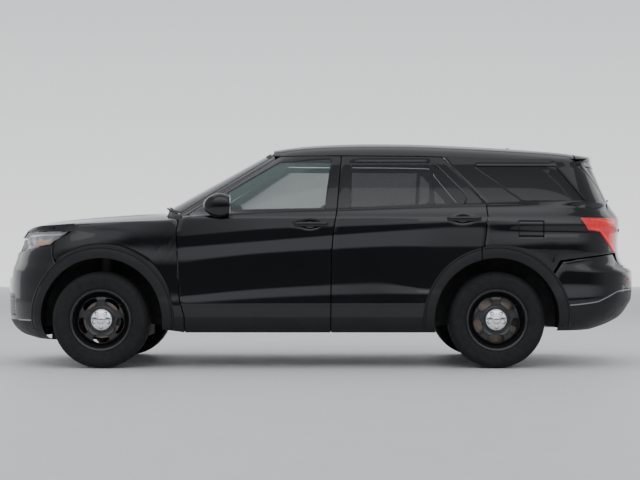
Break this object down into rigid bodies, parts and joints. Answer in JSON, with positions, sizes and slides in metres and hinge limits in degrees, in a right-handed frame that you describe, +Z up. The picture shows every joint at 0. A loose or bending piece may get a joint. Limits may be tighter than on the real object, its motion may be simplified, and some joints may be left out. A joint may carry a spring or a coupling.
{
  "type": "police sport utility vehicle",
  "caption": "Large black police sport utility vehicle with hinged doors, hood, liftgate and fuel door, steered front wheels on steel rims, clear front and dark rear glass.",
  "frame": {"origin": "on the ground, below the centre of the vehicle's bounding box", "axes": "+X to the front, +Y to the vehicle's left, +Z up"},
  "size_m": [5.05, 2.268, 1.763],
  "materials": {
    "black_paint": "gloss",
    "dark_trim": "satin",
    "clear_glass": "clear",
    "privacy_glass": "dark tint",
    "underbody": "matt",
    "lamp_clear": "clear",
    "lamp_red": "red lens",
    "cabin_trim": "grained",
    "seat_cloth": "woven",
    "cast_parts": "dull",
    "exhaust_steel": "dull",
    "tyre_rubber": "matt",
    "wheel_black": "semi gloss",
    "cap_chrome": "bright"
  },
  "bodies": {
    "chassis": {"floor_pan": "underbody", "a_pillars": "black_paint", "b_pillars": "black_paint", "sills": "underbody", "quarter_panel_left": "black_paint", "quarter_panel_right": "black_paint", "roof": "black_paint", "fender_left": "black_paint", "fender_right": "black_paint", "front_bumper": "black_paint", "grille": "dark_trim", "headlamps": "lamp_clear", "windscreen": "clear_glass", "cowl": "dark_trim", "wipers": "dark_trim", "rear_bumper": "black_paint", "tail_lamps": "lamp_red", "quarter_glass": "privacy_glass", "arch_flares": "dark_trim", "dashboard": "cabin_trim", "front_seats": "seat_cloth", "rear_seat": "seat_cloth", "engine": "cast_parts", "front_suspension": "cast_parts", "rear_suspension": "cast_parts", "exhaust": "exhaust_steel", "roof_antenna": "dark_trim", "steering_wheel": "cabin_trim"},
    "knuckle_left": {"knuckle_left": "cast_parts"},
    "knuckle_right": {"knuckle_right": "cast_parts"},
    "wheel_fl": {"tyre_front_left": "tyre_rubber", "wheel_front_left": "wheel_black", "cap_front_left": "cap_chrome"},
    "wheel_fr": {"tyre_front_right": "tyre_rubber", "wheel_front_right": "wheel_black", "cap_front_right": "cap_chrome"},
    "wheel_rl": {"tyre_rear_left": "tyre_rubber", "wheel_rear_left": "wheel_black", "cap_rear_left": "cap_chrome"},
    "wheel_rr": {"tyre_rear_right": "tyre_rubber", "wheel_rear_right": "wheel_black", "cap_rear_right": "cap_chrome"},
    "front_door_left": {"door_front_left": "black_paint", "glass_front_left": "clear_glass", "mirror_left": "black_paint"},
    "front_door_right": {"door_front_right": "black_paint", "glass_front_right": "clear_glass", "mirror_right": "black_paint"},
    "rear_door_left": {"door_rear_left": "black_paint", "glass_rear_left": "privacy_glass"},
    "rear_door_right": {"door_rear_right": "black_paint", "glass_rear_right": "privacy_glass"},
    "hood": {"hood": "black_paint"},
    "tailgate": {"liftgate": "black_paint", "liftgate_glass": "privacy_glass", "plate_bracket": "dark_trim"},
    "fuel_flap": {"fuel_door": "black_paint"}
  },
  "joints": [
    {"name": "steer_left", "type": "hinge", "parent": "chassis", "child": "knuckle_left", "pos_m": [1.675, 0.77, 0.37], "axis": [0, 0, 1], "range_deg": [-33, 33]},
    {"name": "steer_right", "type": "hinge", "parent": "chassis", "child": "knuckle_right", "pos_m": [1.675, -0.77, 0.37], "axis": [0, 0, 1], "range_deg": [-33, 33]},
    {"name": "spin_fl", "type": "hinge", "parent": "knuckle_left", "child": "wheel_fl", "pos_m": [1.675, 0.845, 0.37], "axis": [0, 1, 0], "continuous": true},
    {"name": "spin_fr", "type": "hinge", "parent": "knuckle_right", "child": "wheel_fr", "pos_m": [1.675, -0.845, 0.37], "axis": [0, 1, 0], "continuous": true},
    {"name": "spin_rl", "type": "hinge", "parent": "chassis", "child": "wheel_rl", "pos_m": [-1.35, 0.845, 0.37], "axis": [0, 1, 0], "continuous": true},
    {"name": "spin_rr", "type": "hinge", "parent": "chassis", "child": "wheel_rr", "pos_m": [-1.35, -0.845, 0.37], "axis": [0, 1, 0], "continuous": true},
    {"name": "door_fl_hinge", "type": "hinge", "parent": "chassis", "child": "front_door_left", "pos_m": [1.0945, 1.002, 0.7], "axis": [0, 0, -1], "range_deg": [0, 68]},
    {"name": "door_fr_hinge", "type": "hinge", "parent": "chassis", "child": "front_door_right", "pos_m": [1.0945, -1.002, 0.7], "axis": [0, 0, 1], "range_deg": [0, 68]},
    {"name": "door_rl_hinge", "type": "hinge", "parent": "chassis", "child": "rear_door_left", "pos_m": [-0.0855, 1.002, 0.7], "axis": [0, 0, -1], "range_deg": [0, 68]},
    {"name": "door_rr_hinge", "type": "hinge", "parent": "chassis", "child": "rear_door_right", "pos_m": [-0.0855, -1.002, 0.7], "axis": [0, 0, 1], "range_deg": [0, 68]},
    {"name": "hood_hinge", "type": "hinge", "parent": "chassis", "child": "hood", "pos_m": [1.12, 0, 1.18], "axis": [0, -1, 0], "range_deg": [0, 50]},
    {"name": "liftgate_hinge", "type": "hinge", "parent": "chassis", "child": "tailgate", "pos_m": [-1.985, 0, 1.69], "axis": [0, 1, 0], "range_deg": [0, 85]},
    {"name": "fuel_door_hinge", "type": "hinge", "parent": "chassis", "child": "fuel_flap", "pos_m": [-1.519, 0.99, 1.064], "axis": [0, 0, -1], "range_deg": [0, 110]}
  ],
  "couplings": [
    {"joint": "steer_right", "follows": "steer_left", "ratio": 1}
  ]
}
